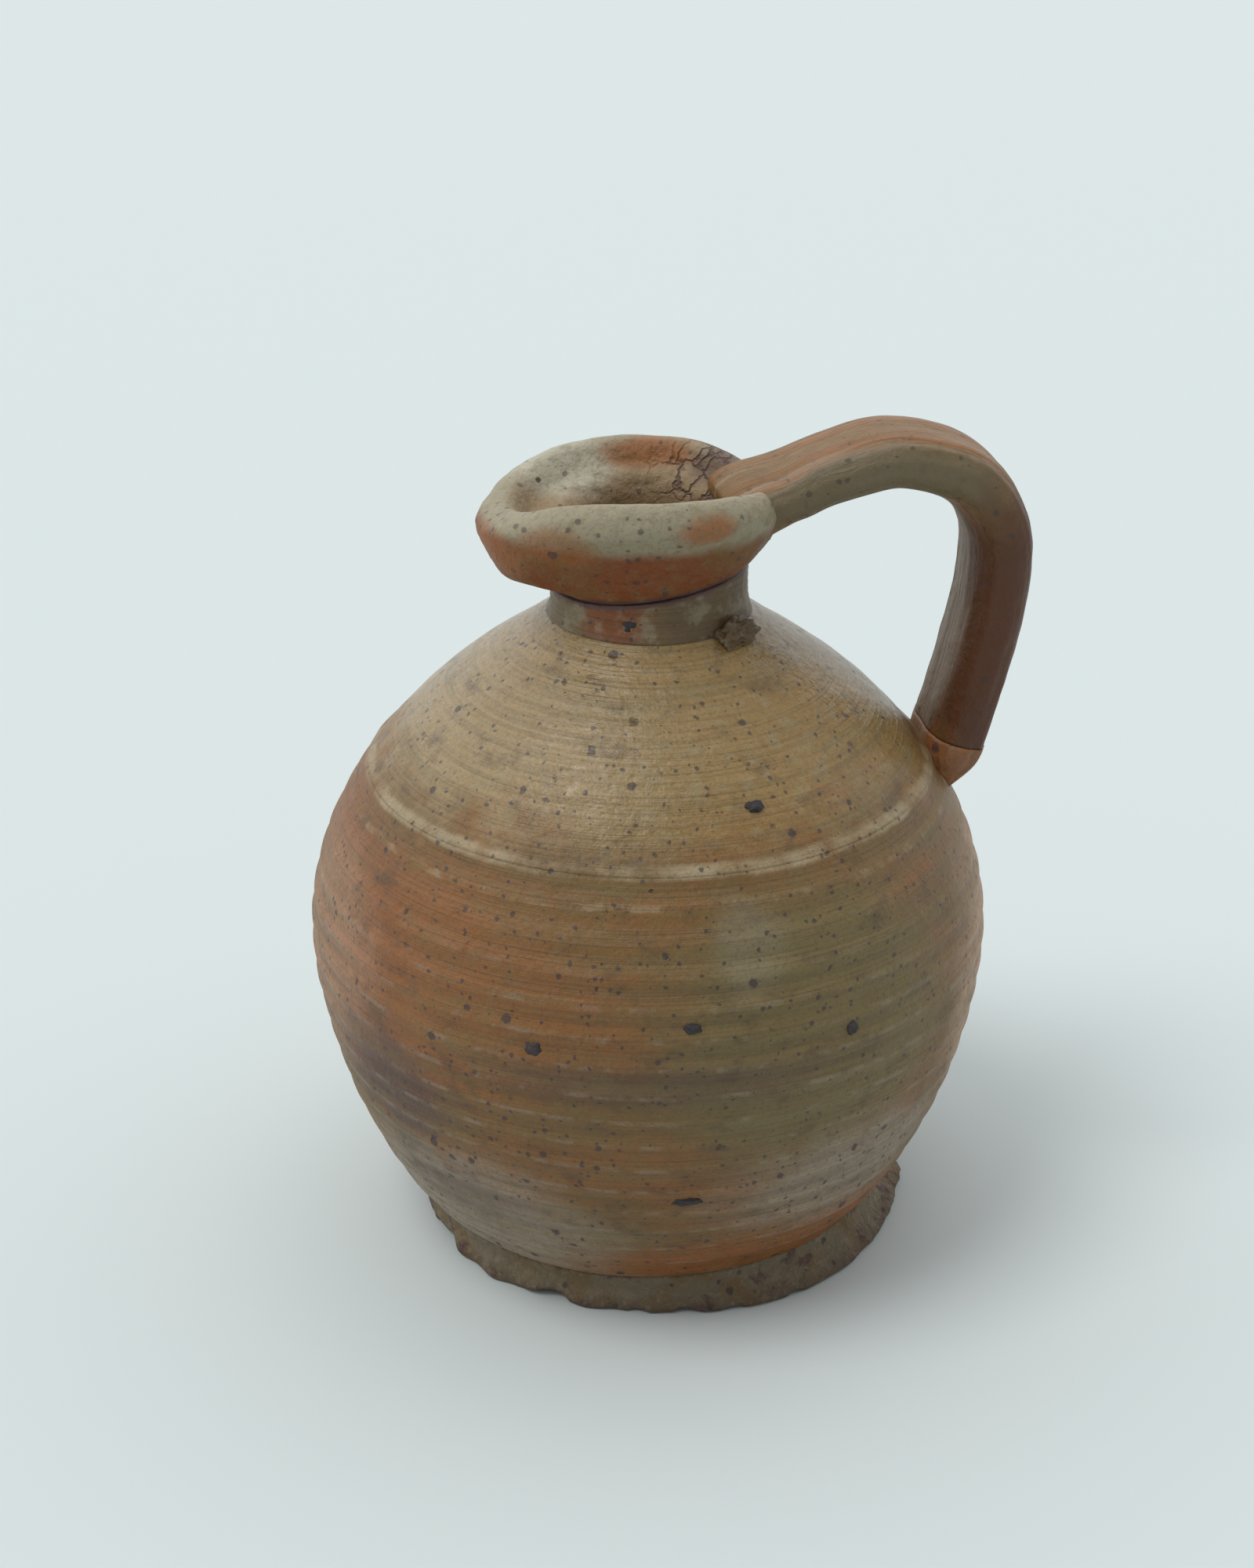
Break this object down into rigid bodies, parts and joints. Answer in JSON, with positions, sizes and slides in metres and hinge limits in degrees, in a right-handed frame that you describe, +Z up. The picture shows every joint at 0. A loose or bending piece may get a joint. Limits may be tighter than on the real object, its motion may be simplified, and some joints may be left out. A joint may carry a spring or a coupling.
{
  "type": "stoneware jug",
  "caption": "Round-bellied wheel-thrown stoneware jug with a pinched spout, a pulled strap handle and a flared, thumbed foot, for holding and pouring liquids.",
  "frame": {"origin": "middle of the flat underside, on the surface that the jug stands on", "axes": "+Z up, +X towards the handle, -X towards the spout"},
  "size_m": [0.1882, 0.18, 0.2169],
  "materials": {
    "belly_clay": "flashed orange and olive, thin ash glaze",
    "ash_shoulder": "ochre ash glaze, semi-gloss",
    "neck_clay": "satin",
    "rim_clay": "grey-green ash, satin",
    "foot_clay": "rough, chipped",
    "strap_clay": "streaked orange, satin",
    "pad_clay": "reddish, matt",
    "grit": "dark, half-melted"
  },
  "bodies": {
    "root": {"body_bowl": "belly_clay", "shoulder_dome": "ash_shoulder", "neck_collar": "neck_clay", "mouth": "rim_clay", "foot_ring": "foot_clay", "handle_strap": "strap_clay", "handle_root_pad": "pad_clay", "neck_lump": "neck_clay", "neck_stone": "grit", "shoulder_stone": "grit", "belly_stone_left": "grit", "belly_stone_middle": "grit", "belly_stone_right": "grit", "low_stone": "grit"}
  },
  "joints": []
}
